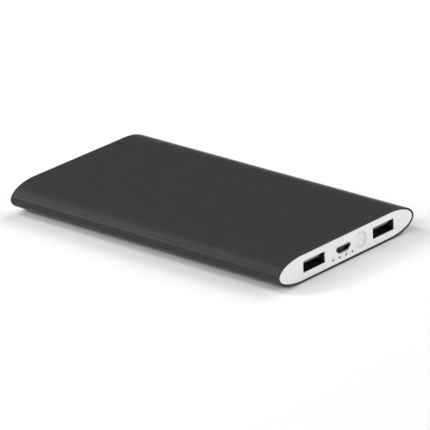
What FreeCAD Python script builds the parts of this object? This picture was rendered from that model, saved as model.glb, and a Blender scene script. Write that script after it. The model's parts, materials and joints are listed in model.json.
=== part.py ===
"""Slim power bank: an anodised aluminium sleeve closed by a white cover at each end.

Frame: X is the width, Y the length, Z up. The origin is the middle of the underside.
The ends that face -Y hold two USB-A sockets, a micro-USB socket, four charge lights and a button.
Every size is a cell of the sheet "dims", in millimetres, and every sub-part is bound to those cells.
"""

import FreeCAD, Part  # noqa: E401  FreeCAD has to come first
import math
import os

import Sketcher
from FreeCAD import Placement, Rotation, Vector

DIMENSIONS = {
    # casing
    "body_length": 139.0,
    "body_width": 80.0,
    "body_thickness": 11.8,
    "end_reach": 14.0,  # how far the elliptical sides reach in from the widest point
    "wall": 0.75,
    "rim_round": 0.15,
    # clearances: overcut is how far a cut runs past the face it ends at
    "overcut": 0.1,
    "close_gap": 0.1,
    "fit_gap": 0.2,
    "loose_gap": 0.3,
    # end covers
    "cover_inset": 0.15,
    "cover_thickness": 1.4,
    "cover_gap": 0.1,
    "cover_round": 0.15,
    "tape_thickness": 0.15,
    "tape_margin": 0.8,
    "peg_x": 31.0,
    "peg_diameter": 1.5,
    "peg_length": 1.4,
    # end frames and their screws
    "frame_thickness": 2.0,
    "stop_x": 20.0,
    "stop_width": 9.0,
    "stop_height": 6.0,
    "stop_length": 1.2,
    "window_width": 26.0,
    "window_height": 5.0,
    "screw_x": 36.0,
    "screw_diameter": 1.6,
    "screw_length": 6.0,
    "head_diameter": 3.4,
    "head_height": 1.0,
    "head_recess": 1.2,
    "screw_pitch": 0.5,
    "screw_neck": 0.4,
    "screw_point": 0.5,
    "thread_depth": 0.12,
    "thread_gap": 0.06,
    "channel_diameter": 3.4,
    "channel_slot": 0.9,
    "channel_slot_depth": 2.0,
    "channel_slot_x": 1.3,
    "channel_end_gap": 0.05,
    "web_height": 1.2,
    # sockets, seen from the front: x across, port_z up
    "port_left_x": -19.2,
    "port_right_x": 21.7,
    "port_z": 5.95,
    "port_opening_width": 12.6,
    "port_opening_height": 4.6,
    "port_lip": 0.3,
    "usb_width": 13.1,
    "usb_height": 5.7,
    "usb_length": 14.0,
    "usb_sheet": 0.3,
    "usb_corner": 0.5,
    "leaf_setback": 2.4,
    "leaf_x": 3.2,
    "leaf_width": 2.0,
    "leaf_window_width": 2.5,
    "leaf_window_length": 4.6,
    "leaf_window_start": 0.6,
    "foot_width": 1.1,
    "foot_length": 1.8,
    "front_foot_setback": 5.8,
    "back_foot_setback": 11.4,
    "tongue_width": 11.1,
    "tongue_thickness": 1.84,
    "tongue_drop": 0.68,
    "tongue_setback": 1.8,
    "tongue_round": 0.3,
    "usb_block": 3.2,
    "contact_width": 1.0,
    "contact_thickness": 0.15,
    "contact_setback": 0.9,
    "tail_length": 1.3,
    "tail_thickness": 0.2,
    "micro_x": -2.0,
    "micro_z": 5.75,
    "micro_opening_width": 8.7,
    "micro_opening_height": 3.1,
    "micro_opening_taper": 1.7,
    "micro_opening_round": 1.0,
    "micro_width": 8.0,
    "micro_height": 2.5,
    "micro_taper": 1.25,
    "micro_round": 0.45,
    "micro_inner_taper": 1.1,
    "micro_length": 6.9,
    "micro_sheet": 0.28,
    "micro_setback": 0.15,
    "micro_foot_width": 1.6,
    "micro_foot_length": 1.5,
    "micro_foot_start": 1.0,
    "micro_block": 2.0,
    "micro_tongue_width": 3.7,
    "micro_tongue_length": 4.0,
    "micro_tongue_thickness": 0.6,
    "micro_contact_length": 3.8,
    "micro_contact_width": 0.36,
    "micro_contact_thickness": 0.1,
    "micro_contact_pitch": 0.65,
    "micro_tail_length": 1.0,
    "micro_tail_thickness": 0.15,
    # charge lights
    "light_x": -2.5,
    "light_z": 2.9,
    "light_pitch": 3.8,
    "light_hole": 1.1,
    "light_peg": 0.95,
    "light_recess": 0.12,
    "guide_width": 13.6,
    "guide_height": 1.4,
    "led_width": 1.6,
    "led_depth": 0.9,
    "led_height": 1.0,
    "led_overhang": 0.35,
    # button and its switch
    "button_x": 8.3,
    "button_diameter": 5.6,
    "button_hole": 5.85,
    "button_mouth": 0.5,
    "button_flange": 7.2,
    "button_flange_hole": 7.6,
    "button_recess": 0.45,
    "button_dish": 0.35,
    "button_rim": 0.12,
    "button_stem": 2.0,
    "button_travel": 0.3,
    "button_gap": 0.02,
    "flange_thickness": 0.8,
    "flange_recess": 1.35,
    "stem_hole": 2.6,
    "switch_setback": 1.1,
    "switch_width": 6.0,
    "switch_depth": 3.4,
    "switch_height": 2.2,
    "plunger_width": 2.5,
    "plunger_height": 1.3,
    "plunger_depth": 0.8,
    "plunger_overhang": 0.1,
    # circuit board
    "board_bottom": 3.5,
    "board_thickness": 1.0,
    "board_width": 66.0,
    "board_length": 21.3,
    "board_corner": 1.2,
    "board_front": 65.3,  # distance of the board's front edge from the middle of the casing
    "arm_x": 30.6,
    "arm_width": 4.0,
    "arm_bottom": 1.75,
    "arm_length": 19.6,
    "board_screw_out": 49.6,
    "board_screw_diameter": 1.4,
    "board_screw_length": 2.8,
    "board_head_diameter": 2.8,
    "board_head_height": 0.8,
    "lead_width": 0.4,
    "lead_thickness": 0.25,
    "package_lift": 0.1,
    "inductor_x": -2.0,
    "inductor_out": 54.0,
    "inductor_width": 9.8,
    "inductor_height": 3.8,
    "inductor_lift": 0.2,
    "inductor_corner": 1.1,
    "terminal_x": 3.6,
    "terminal_width": 2.2,
    "terminal_length": 3.0,
    "terminal_thickness": 0.3,
    # cells and tray
    "cell_width": 60.0,
    "cell_length": 96.0,
    "cell_thickness": 4.4,
    "cell_front": 34.5,  # distance of the cells' front end from the middle of the casing
    "cell_corner": 1.6,
    "terrace_length": 4.0,
    "terrace_thickness": 1.2,
    "terrace_inset": 2.0,
    "tray_floor": 0.6,
    "tray_bottom": 0.9,
    "tray_wall": 1.2,
    "tray_bevel_width": 3.5,
    "tray_bevel_height": 0.45,
    "tray_top_gap": 1.5,
    "lip_height": 1.6,
    "lip_thickness": 0.5,
    "lip_gap": 0.6,
    "cell_tape": 0.1,
    "layer_inset": 3.0,
    "tab_x": 12.0,
    "tab_width": 8.0,
    "tab_length": 4.2,
    "tab_thickness": 0.12,
    "link_thickness": 0.2,
    "link_foot": 3.8,
    "link_overlap": 0.4,
    "foam_thickness": 0.6,
    "bead_width": 2.4,
    "bead_height": 1.2,
    "leg_width": 0.35,
    "leg_x": 0.6,
    "leg_rise": 0.4,
    "leg_overlap": 1.5,
}

TOUCH = 1e-4  # millimetres within which two places count as the same
USB_CONTACTS_X = (-3.5, -1, 1, 3.5)
LIGHT_COUNT = 4
MICRO_CONTACT_COUNT = 5
# a spring leaf of the USB shell, bent from its sheet: distance back from its root, and height
LEAF_PROFILE = ((0, 0), (3, -0.5), (4.5, -0.18), (4.5, 0.04), (3, -0.28), (0.5, 0.14), (0, 0.14))
# packages on the board: where their middles are, then length, width, height, and leads on each long side
PACKAGES = {
    "controller_chip": {"places": [(8.5, -55.6)], "size": (5, 5, 0.95), "leads": 5, "reach": 0.3},
    "power_transistors": {
        "places": [(-16.2, -50.1), (11.6, -50.1), (17.6, -50.1)],
        "size": (4.9, 3.9, 1.5),
        "leads": 4,
        "reach": 0.7,
    },
    "protection_chips": {
        "places": [(-22, -45.9), (22, -45.9)],
        "size": (2.9, 1.6, 1.1),
        "leads": 3,
        "reach": 0.7,
    },
    "tantalum_capacitors": {"places": [(-24.2, -50.1), (24.8, -50.1)], "size": (7.3, 4.3, 2.8)},
    "ceramic_capacitors": {"places": [(-9.4, -61 + 4 * i) for i in range(4)], "size": (1.6, 3.2, 1.6)},
    "resistors": {"places": [(4.4, -59.4 + 2.3 * i) for i in range(5)], "size": (0.8, 1.6, 0.5)},
}

doc = FreeCAD.newDocument("power_bank")
sheet = doc.addObject("Spreadsheet::Sheet", "dims")
nodes = []


def fill_sheet():
    """Writes each driving dimension as one row: its name, and its value under that alias."""
    for row, (alias, value) in enumerate(DIMENSIONS.items(), start=1):
        sheet.set(f"A{row}", alias)
        sheet.set(f"B{row}", str(value))
        sheet.setAlias(f"B{row}", alias)
    doc.recompute()


def number(expression):
    """The value of an expression over the sheet, as a float."""
    return float(sheet.evalExpression(str(expression)))


def keep(thing, label):
    """Marks an object as a sub-part of the power bank, exported under that label."""
    thing.Label = label
    nodes.append(thing)
    return thing


# Places that several sub-parts share, as expressions. Those called _out are distances
# from the middle of the casing along Y, towards whichever end the sub-part closes.
MIDDLE = "dims.body_thickness / 2"
END_OUT = "dims.body_length / 2"
COVER_FACE_OUT = f"({END_OUT} - dims.cover_inset)"
COVER_BACK_OUT = f"({COVER_FACE_OUT} - dims.cover_thickness)"
FRAME_FACE_OUT = f"({COVER_BACK_OUT} - dims.tape_thickness)"
FRAME_BACK_OUT = f"({FRAME_FACE_OUT} - dims.frame_thickness)"
FLAT_HALF = "(dims.body_width / 2 - dims.end_reach)"
BOARD_TOP = "(dims.board_bottom + dims.board_thickness)"
SOCKET_FACE_OUT = f"({COVER_FACE_OUT} - dims.port_lip)"
MICRO_FACE_OUT = f"({COVER_FACE_OUT} - dims.micro_setback)"
SWITCH_FACE_OUT = "(dims.board_front - dims.switch_setback)"
FLANGE_FACE_OUT = f"({COVER_BACK_OUT} - dims.button_gap)"
FLANGE_BACK_OUT = f"({FLANGE_FACE_OUT} - dims.flange_thickness)"
PLUNGER_TIP_OUT = "(dims.board_front + dims.plunger_overhang)"
SWITCH_MIDDLE = f"({BOARD_TOP} + dims.switch_height / 2)"
PORTS = (("left", "dims.port_left_x"), ("right", "dims.port_right_x"))
SIDES = (-1, 1)


# ---------------------------------------------------------------- sketch and feature helpers


def new_body(label):
    body = doc.addObject("PartDesign::Body", label)
    body.AllowCompound = True
    return body


def new_sketch(body, name, plane="XZ_Plane", x=0, y=0, out=0):
    """A sketch on one of the body's own origin planes, moved by expressions x, y and out (along the normal)."""
    sketch = body.newObject("Sketcher::SketchObject", name)
    support = next(f for f in body.Origin.OriginFeatures if f.Role == plane)
    sketch.AttachmentSupport = (support, [""])
    sketch.MapMode = "FlatFace"
    for axis, expression in (("x", x), ("y", y), ("z", out)):
        if expression != 0:
            sketch.setExpression(f"AttachmentOffset.Base.{axis}", str(expression))
    return sketch


def constrain(sketch, name, expression, *args):
    """Adds one dimension to a sketch and binds it to the sheet."""
    index = sketch.addConstraint(Sketcher.Constraint(*args, number(expression)))
    sketch.renameConstraint(index, name)
    sketch.setExpression(f"Constraints.{name}", str(expression))


def rectangle(sketch, width, height, x=0, y=0, tag="box"):
    """A rectangle of that width and height, with its centre at x, y in the sketch."""
    width, height = f"({width})", f"({height})"
    w, h, cx, cy = (number(v) for v in (width, height, x, y))
    corners = [
        Vector(cx + sx * w / 2, cy + sy * h / 2, 0)
        for sx, sy in ((-1, -1), (1, -1), (1, 1), (-1, 1))
    ]
    first = sketch.GeometryCount
    for i in range(4):
        sketch.addGeometry(Part.LineSegment(corners[i], corners[(i + 1) % 4]))
    for i in range(4):
        link = Sketcher.Constraint("Coincident", first + i, 2, first + (i + 1) % 4, 1)
        sketch.addConstraint(link)
    for i, kind in enumerate(("Horizontal", "Vertical", "Horizontal", "Vertical")):
        sketch.addConstraint(Sketcher.Constraint(kind, first + i))
    constrain(sketch, f"{tag}_width", width, "DistanceX", first, 1, first, 2)
    constrain(sketch, f"{tag}_height", height, "DistanceY", first + 1, 1, first + 1, 2)
    left, low = f"{x} - {width} / 2", f"{y} - {height} / 2"
    constrain(sketch, f"{tag}_left", left, "DistanceX", -1, 1, first, 1)
    constrain(sketch, f"{tag}_low", low, "DistanceY", -1, 1, first, 1)


def circle(sketch, diameter, x=0, y=0, tag="hole"):
    """A circle of that diameter centred at x, y in the sketch."""
    centre = Vector(number(x), number(y), 0)
    index = sketch.addGeometry(
        Part.Circle(centre, Vector(0, 0, 1), number(diameter) / 2)
    )
    constrain(sketch, f"{tag}_diameter", diameter, "Diameter", index)
    constrain(sketch, f"{tag}_x", x, "DistanceX", -1, 1, index, 3)
    constrain(sketch, f"{tag}_y", y, "DistanceY", -1, 1, index, 3)


def polygon(sketch, points, arcs=(), tag="p"):
    """A closed outline through points given as pairs of expressions.

    A side whose number is in arcs is a circular arc centred on the sketch's vertical axis.
    """
    places = [Vector(number(x), number(y), 0) for x, y in points]
    count = len(places)
    first = sketch.GeometryCount
    for i in range(count):
        start, end = places[i], places[(i + 1) % count]
        if i in arcs:
            sketch.addGeometry(arc_about_axis(start, end))
        else:
            sketch.addGeometry(Part.LineSegment(start, end))
    for i in range(count):
        # an arc drawn clockwise runs from its second point to its first
        end = 1 if i in arcs and clockwise(places[i], places[(i + 1) % count]) else 2
        after = (i + 1) % count
        flipped = after in arcs and clockwise(places[after], places[(after + 1) % count])
        start = 2 if flipped else 1
        link = Sketcher.Constraint("Coincident", first + i, end, first + after, start)
        sketch.addConstraint(link)
    for i, (x, y) in enumerate(points):
        flipped = i in arcs and clockwise(places[i], places[(i + 1) % count])
        corner = 2 if flipped else 1
        constrain(sketch, f"{tag}{i}_x", x, "DistanceX", -1, 1, first + i, corner)
        constrain(sketch, f"{tag}{i}_y", y, "DistanceY", -1, 1, first + i, corner)
    for i in arcs:
        on_axis = Sketcher.Constraint("PointOnObject", first + i, 3, -2)
        sketch.addConstraint(on_axis)


def axis_centre(start, end):
    """The point of the sketch's vertical axis that is as far from start as from end."""
    middle = (start + end) / 2
    y = middle.y + middle.x * (end.x - start.x) / (end.y - start.y)
    return Vector(0, y, 0)


def clockwise(start, end):
    """Whether an arc from start to end about the vertical axis runs clockwise."""
    centre = axis_centre(start, end)
    return (start - centre).cross(end - centre).z < 0


def arc_about_axis(start, end):
    centre = axis_centre(start, end)
    ends = (end, start) if clockwise(start, end) else (start, end)
    angles = [math.atan2(p.y - centre.y, p.x - centre.x) for p in ends]
    ring = Part.Circle(centre, Vector(0, 0, 1), (start - centre).Length)
    return Part.ArcOfCircle(ring, *angles)


def section(sketch, shrink=0):
    """The casing's section, smaller all round by shrink: flat above and below, half an ellipse each side."""
    flat = number(FLAT_HALF)
    reach = f"(dims.end_reach - {shrink})"
    half = f"(dims.body_thickness / 2 - {shrink})"
    a, b = number(reach), number(half)
    top = sketch.addGeometry(Part.LineSegment(Vector(-flat, b, 0), Vector(flat, b, 0)))
    low = sketch.addGeometry(Part.LineSegment(Vector(flat, -b, 0), Vector(-flat, -b, 0)))
    halves = []
    for side, turn in ((1, -math.pi / 2), (-1, math.pi / 2)):
        centre = Vector(side * flat, 0, 0)
        nose, brow = centre + Vector(a, 0, 0), centre + Vector(0, b, 0)
        full = Part.Ellipse(nose, brow, centre)
        half_index = sketch.addGeometry(Part.ArcOfEllipse(full, turn, turn + math.pi))
        sketch.exposeInternalGeometry(half_index)
        halves.append(half_index)
    right, left = halves
    joins = ((top, 2, right, 2), (right, 1, low, 1), (low, 2, left, 2), (left, 1, top, 1))
    for join in joins:
        sketch.addConstraint(Sketcher.Constraint("Coincident", *join))
    sketch.addConstraint(Sketcher.Constraint("Horizontal", top))
    for index, name in ((right, "right"), (left, "left")):
        major = index + 1
        sketch.addConstraint(Sketcher.Constraint("PointOnObject", index, 3, -1))
        sketch.addConstraint(Sketcher.Constraint("Horizontal", major))
        for corner in (1, 2):
            upright = Sketcher.Constraint("Vertical", index, 3, index, corner)
            sketch.addConstraint(upright)
        constrain(sketch, f"{name}_reach", f"2 * {reach}", "Distance", major)
    constrain(sketch, "thickness", f"2 * {half}", "Distance", right + 2)
    constrain(sketch, "right_flat", FLAT_HALF, "DistanceX", -1, 1, right, 3)
    constrain(sketch, "left_flat", FLAT_HALF, "DistanceX", left, 3, -1, 1)


def pad(body, sketch, length, reverse=False):
    feature = body.newObject("PartDesign::Pad", "pad")
    feature.Profile = sketch
    feature.Reversed = reverse
    feature.setExpression("Length", str(length))
    doc.recompute()
    return feature


def pocket(body, sketch, depth, reverse=False):
    """Cuts against the sketch's normal, or along it if reverse, and stops if nothing was cut."""
    before = body.Shape.Volume
    feature = body.newObject("PartDesign::Pocket", "pocket")
    feature.Profile = sketch
    feature.Reversed = reverse
    feature.setExpression("Length", str(depth))
    doc.recompute()
    if body.Shape.Volume > before - TOUCH:
        raise RuntimeError(f"{body.Label}: {sketch.Label} cut nothing")
    return feature


def revolve(body, sketch):
    """A full turn about the sketch's vertical axis."""
    feature = body.newObject("PartDesign::Revolution", "turn")
    feature.Profile = sketch
    feature.ReferenceAxis = (sketch, ["V_Axis"])
    feature.Angle = 360
    doc.recompute()
    return feature


def edges_where(body, test):
    """Names of the edges of the body's present shape that pass a test."""
    return [f"Edge{i}" for i, e in enumerate(body.Shape.Edges, start=1) if test(e)]


def round_off(body, kind, size, test):
    """A PartDesign::Fillet or PartDesign::Chamfer on every edge that passes the test."""
    names = edges_where(body, test)
    if not names:
        raise RuntimeError(f"{body.Label}: no edge to {kind.lower()}")
    base = body.Tip
    feature = body.newObject(f"PartDesign::{kind}", kind.lower())
    feature.Base = (base, names)
    feature.setExpression("Radius" if kind == "Fillet" else "Size", str(size))
    doc.recompute()
    return feature


def at_y(edge, y):
    """Whether an edge lies in the plane across the casing at y."""
    box = edge.BoundBox
    return abs(box.YMin - y) < TOUCH and abs(box.YMax - y) < TOUCH


def along_y(edge):
    """Whether an edge is a straight line along the casing."""
    box = edge.BoundBox
    return box.XLength < TOUCH and box.ZLength < TOUCH


def upright(edge):
    """Whether an edge is a straight line up."""
    box = edge.BoundBox
    return box.XLength < TOUCH and box.YLength < TOUCH


def box(label, size, low):
    """A Part::Box of expressions size, with its lowest corner at expressions low."""
    made = doc.addObject("Part::Box", label)
    for prop, expression in zip(("Length", "Width", "Height"), size):
        made.setExpression(prop, str(expression))
    for axis, expression in zip("xyz", low):
        made.setExpression(f"Placement.Base.{axis}", str(expression))
    return made


def group(label, members):
    """One node of several separate solids."""
    made = doc.addObject("Part::Compound", label)
    made.Links = members
    return keep(made, label)


# ---------------------------------------------------------------- casing


def sleeve():
    """The extruded tube, with a slotted screw channel inside each rounded side."""
    body = new_body("sleeve")
    outer = new_sketch(body, "outer", y=MIDDLE, out=f"-{END_OUT}")
    section(outer)
    pad(body, outer, "dims.body_length")
    inner = new_sketch(body, "inner", y=MIDDLE, out=END_OUT)
    section(inner, "dims.wall")
    pocket(body, inner, "dims.body_length")
    ends = [number(f"{side} * {END_OUT}") for side in SIDES]
    thickness = number("dims.body_thickness")

    def on_outer_rim(edge):
        box = edge.BoundBox
        outside = box.ZMin < TOUCH or box.ZMax > thickness - TOUCH
        return outside and any(at_y(edge, y) for y in ends)

    round_off(body, "Fillet", "dims.rim_round", on_outer_rim)
    channel_out = f"({FRAME_BACK_OUT} - dims.channel_end_gap)"
    length = f"2 * {channel_out}"
    for side in SIDES:
        x = f"({side} * dims.screw_x)"
        web = new_sketch(body, "web", x=x, y=MIDDLE, out=f"-{channel_out}")
        web_width = "dims.body_width / 2 - dims.wall / 2 - dims.screw_x"
        rectangle(web, web_width, "dims.web_height", x=f"{side} * ({web_width}) / 2")
        pad(body, web, length)
        channel = new_sketch(body, "channel", x=x, y=MIDDLE, out=f"-{channel_out}")
        circle(channel, "dims.channel_diameter")
        pad(body, channel, length)
        bore = new_sketch(body, "bore", x=x, y=MIDDLE, out=channel_out)
        circle(bore, "dims.screw_diameter + dims.thread_gap")
        pocket(body, bore, length)
        slot = new_sketch(body, "slot", x=x, y=MIDDLE, out=channel_out)
        rectangle(slot, "dims.channel_slot_depth", "dims.channel_slot", x=f"{-side} * dims.channel_slot_x")
        pocket(body, slot, length)
    return keep(body, "sleeve")


def micro_points(width, height, taper):
    """Corners of a micro-USB outline: full width above its middle, tapering to the narrower lower edge."""
    width, height = f"({width})", f"({height})"
    half = f"{width} / 2"
    foot = f"({width} / 2 - {taper})"
    left = [(f"-{half}", f"{height} / 2"), (f"-{half}", 0), (f"-{foot}", f"-{height} / 2")]
    return left + [(foot, f"-{height} / 2"), (half, 0), (half, f"{height} / 2")]


def cut_ports(body, out, depth, usb, micro):
    """Cuts the USB-A and micro-USB openings of a front piece, each to its own size."""
    for name, x in PORTS:
        port = new_sketch(body, f"usb_{name}", x=x, y="dims.port_z", out=out)
        rectangle(port, *usb)
        pocket(body, port, depth)
    socket = new_sketch(body, "micro_usb", x="dims.micro_x", y="dims.micro_z", out=out)
    polygon(socket, micro_points(*micro))
    pocket(body, socket, depth)


def light_place(i):
    """Where light number i is along the row of lights, from the row's middle."""
    return f"({i} - ({LIGHT_COUNT} - 1) / 2) * dims.light_pitch"


def cut_slot(body, out, depth, width, height):
    """Cuts the slot that the light guide's bar lies in."""
    slot = new_sketch(body, "light_slot", x="dims.light_x", y="dims.light_z", out=out)
    rectangle(slot, width, height)
    pocket(body, slot, depth)


def cut_button_hole(body, out, depth, diameter):
    hole = new_sketch(body, "button_hole", x="dims.button_x", y=MIDDLE, out=out)
    circle(hole, diameter)
    pocket(body, hole, depth)


def cut_pegs(body, out, depth, diameter, reverse=False):
    for side in SIDES:
        hole = new_sketch(body, "peg_hole", x=f"{side} * dims.peg_x", y=MIDDLE, out=out)
        circle(hole, diameter)
        pocket(body, hole, depth, reverse)


def cover_plate(label, end):
    """A cover's plate and its two pegs. end is 1 for the front, which faces -Y, and -1 for the rear."""
    body = new_body(label)
    plate = new_sketch(body, "plate", y=MIDDLE, out=f"{end} * {COVER_BACK_OUT}")
    section(plate, "(dims.wall + dims.cover_gap)")
    pad(body, plate, "dims.cover_thickness", reverse=end < 0)
    face = number(f"-{end} * {COVER_FACE_OUT}")
    round_off(body, "Fillet", "dims.cover_round", lambda edge: at_y(edge, face))
    for side in SIDES:
        x = f"{side} * dims.peg_x"
        peg = new_sketch(body, "peg", x=x, y=MIDDLE, out=f"{end} * {COVER_BACK_OUT}")
        circle(peg, "dims.peg_diameter")
        pad(body, peg, "dims.peg_length", reverse=end > 0)
    return body


def in_micro_opening(edge):
    """Whether an edge is one of the corners of the front cover's micro-USB opening."""
    middle = edge.CenterOfMass
    across = abs(middle.x - number("dims.micro_x")) < number("dims.micro_opening_width / 2") + TOUCH
    upwards = abs(middle.z - number("dims.micro_z")) < number("dims.micro_opening_height / 2") + TOUCH
    return along_y(edge) and across and upwards


def front_cover():
    """The front cover: the sockets' openings, four light holes and the button's hole with its sloped mouth."""
    body = cover_plate("front_cover", 1)
    usb = ("dims.port_opening_width", "dims.port_opening_height")
    micro = ("dims.micro_opening_width", "dims.micro_opening_height", "dims.micro_opening_taper")
    depth = "dims.cover_thickness + dims.overcut"
    cut_ports(body, COVER_FACE_OUT, depth, usb, micro)
    round_off(body, "Fillet", "dims.micro_opening_round", in_micro_opening)
    for name, x in PORTS:
        seat = new_sketch(body, f"seat_{name}", x=x, y="dims.port_z", out=COVER_BACK_OUT)
        rectangle(seat, "dims.usb_width + dims.fit_gap", "dims.usb_height + dims.fit_gap")
        pocket(body, seat, "dims.cover_thickness - dims.port_lip", reverse=True)
    lights = new_sketch(body, "lights", x="dims.light_x", y="dims.light_z", out=COVER_FACE_OUT)
    for i in range(LIGHT_COUNT):
        circle(lights, "dims.light_hole", x=light_place(i), tag=f"light{i}")
    pocket(body, lights, depth)
    cut_button_hole(body, COVER_FACE_OUT, depth, "dims.button_hole")
    face = number(f"-{COVER_FACE_OUT}")
    radius = number("dims.button_hole / 2")

    def mouth(edge):
        ring = isinstance(edge.Curve, Part.Circle) and abs(edge.Curve.Radius - radius) < TOUCH
        return ring and at_y(edge, face)

    round_off(body, "Chamfer", "dims.button_mouth", mouth)
    return keep(body, "front_cover")


def rear_cover():
    return keep(cover_plate("rear_cover", -1), "rear_cover")


def tape(label, end):
    """The die-cut adhesive that holds a cover on its frame."""
    body = new_body(label)
    sheet_outline = new_sketch(body, "outline", y=MIDDLE, out=f"{end} * {FRAME_FACE_OUT}")
    section(sheet_outline, "(dims.wall + dims.tape_margin)")
    pad(body, sheet_outline, "dims.tape_thickness", reverse=end < 0)
    return body


def front_tape():
    body = tape("front_tape", 1)
    usb = ("dims.usb_width + 2 * dims.fit_gap", "dims.usb_height + 2 * dims.fit_gap")
    width, height = "dims.micro_opening_width + dims.loose_gap", "dims.micro_opening_height + dims.fit_gap"
    micro = (width, height, "dims.micro_taper")
    depth = "dims.tape_thickness + dims.overcut"
    cut_ports(body, COVER_BACK_OUT, depth, usb, micro)
    slot = ("dims.guide_width + 2 * dims.loose_gap", "dims.guide_height + dims.loose_gap")
    cut_slot(body, COVER_BACK_OUT, depth, *slot)
    cut_button_hole(body, COVER_BACK_OUT, depth, "dims.button_flange_hole")
    cut_pegs(body, COVER_BACK_OUT, depth, "dims.peg_diameter + dims.loose_gap")
    return keep(body, "front_tape")


def rear_tape():
    body = tape("rear_tape", -1)
    depth = "dims.tape_thickness + dims.overcut"
    cut_pegs(body, f"-{COVER_BACK_OUT}", depth, "dims.peg_diameter + dims.loose_gap", reverse=True)
    return keep(body, "rear_tape")


def frame_plate(label, end):
    """An end frame's plate, with its peg holes and its recessed screw holes."""
    body = new_body(label)
    plate = new_sketch(body, "plate", y=MIDDLE, out=f"{end} * {FRAME_BACK_OUT}")
    section(plate, "(dims.wall + dims.cover_gap)")
    pad(body, plate, "dims.frame_thickness", reverse=end < 0)
    face = f"{end} * {FRAME_FACE_OUT}"
    back_up = end < 0
    cut_pegs(body, face, "dims.peg_length + dims.close_gap", "dims.peg_diameter + dims.close_gap", back_up)
    for side in SIDES:
        x = f"{side} * dims.screw_x"
        hole = new_sketch(body, "screw_hole", x=x, y=MIDDLE, out=face)
        circle(hole, "dims.screw_diameter + 2 * dims.fit_gap")
        pocket(body, hole, "dims.frame_thickness + dims.overcut", back_up)
        recess = new_sketch(body, "head_recess", x=x, y=MIDDLE, out=face)
        circle(recess, "dims.head_diameter + dims.loose_gap")
        pocket(body, recess, "dims.head_recess", back_up)
    return body


def front_frame():
    """The front frame, with two arms that reach back under the circuit board."""
    body = frame_plate("front_frame", 1)
    usb = ("dims.usb_width + dims.fit_gap", "dims.usb_height + dims.fit_gap")
    micro = ("dims.micro_width + dims.fit_gap", "dims.micro_height + dims.fit_gap", "dims.micro_taper")
    depth = "dims.frame_thickness + dims.overcut"
    cut_ports(body, FRAME_FACE_OUT, depth, usb, micro)
    slot = ("dims.guide_width + 2 * dims.fit_gap", "dims.guide_height + dims.fit_gap")
    cut_slot(body, FRAME_FACE_OUT, depth, *slot)
    cut_button_hole(body, FRAME_FACE_OUT, "dims.flange_recess", "dims.button_flange_hole")
    cut_button_hole(body, FRAME_FACE_OUT, depth, "dims.stem_hole")
    arm_height = "(dims.board_bottom - dims.arm_bottom)"
    for side in SIDES:
        x = f"{side} * dims.arm_x"
        middle = f"dims.arm_bottom + {arm_height} / 2"
        arm = new_sketch(body, "arm", x=x, y=middle, out=FRAME_BACK_OUT)
        rectangle(arm, "dims.arm_width", arm_height)
        pad(body, arm, "dims.arm_length", reverse=True)
        place = {"x": x, "y": "-dims.board_screw_out", "out": "dims.board_bottom"}
        pilot = new_sketch(body, "pilot", "XY_Plane", **place)
        circle(pilot, "dims.board_screw_diameter + dims.thread_gap")
        pocket(body, pilot, arm_height)
    return keep(body, "front_frame")


def rear_frame():
    """The rear frame, with two blocks that keep the cell tray from sliding back."""
    body = frame_plate("rear_frame", -1)
    for side in SIDES:
        block = new_sketch(body, "stop", x=f"{side} * dims.stop_x", y=MIDDLE, out=f"-{FRAME_BACK_OUT}")
        rectangle(block, "dims.stop_width", "dims.stop_height")
        pad(body, block, "dims.stop_length")
    window = new_sketch(body, "window", y=MIDDLE, out=f"-{FRAME_FACE_OUT}")
    rectangle(window, "dims.window_width", "dims.window_height")
    pocket(body, window, "dims.frame_thickness + dims.overcut", reverse=True)
    return keep(body, "rear_frame")


# shares of a screw's own size: the flat of its head, the rim's height, its tip, and the cross's size and depth
HEAD_FLAT = 0.3
HEAD_RIM = 0.35
TIP_FLAT = 0.5
CROSS_LENGTH = 0.55
CROSS_WIDTH = 0.14
CROSS_DEPTH = 0.6


def screw(name, head_diameter, head, diameter, length):
    """A cross-head screw on the Y axis: its head is on the -Y side of the origin."""
    body = new_body(name)
    half = new_sketch(body, "profile", "XY_Plane")
    rim, radius = f"{head_diameter} / 2", f"{diameter} / 2"
    points = [(0, f"-{head}"), (f"{HEAD_FLAT} * {head_diameter}", f"-{head}"), (rim, f"-{HEAD_RIM} * {head}")]
    points += [(rim, 0), (radius, 0)]
    core = f"({radius} - dims.thread_depth)"
    threaded = number(f"{length} - dims.screw_neck - dims.screw_point")
    for turn in range(int(threaded / number("dims.screw_pitch"))):
        start = f"(dims.screw_neck + {turn} * dims.screw_pitch)"
        points.append((core, start))
        points.append((radius, f"{start} + dims.screw_pitch / 2"))
    points += [(core, f"{length} - dims.screw_point"), (f"{TIP_FLAT} * {core}", length), (0, length)]
    polygon(half, points)
    revolve(body, half)
    long_side, short_side = f"{CROSS_LENGTH} * {head_diameter}", f"{CROSS_WIDTH} * {head_diameter}"
    for width, height in ((long_side, short_side), (short_side, long_side)):
        cross = new_sketch(body, "cross", out=head)
        rectangle(cross, width, height)
        pocket(body, cross, f"{CROSS_DEPTH} * {head}")
    return body


def place(thing, x, y, z, axis=(0, 0, 1), angle=0):
    """Moves an object to expressions x, y, z, turned about an axis."""
    thing.Placement.Rotation = Rotation(Vector(*axis), angle)
    for name, expression in zip("xyz", (x, y, z)):
        thing.setExpression(f"Placement.Base.{name}", str(expression))


def case_screws(label, end):
    """The two screws that hold an end frame to the sleeve's channels."""
    seat = f"({FRAME_FACE_OUT} - dims.head_recess)"
    sizes = ("dims.head_diameter", "dims.head_height", "dims.screw_diameter", "dims.screw_length")
    made = []
    for side in SIDES:
        body = screw(f"{label}_{len(made)}", *sizes)
        turn = 0 if end > 0 else 180
        place(body, f"{side} * dims.screw_x", f"-{end} * {seat}", MIDDLE, angle=turn)
        made.append(body)
    return group(label, made)


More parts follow.
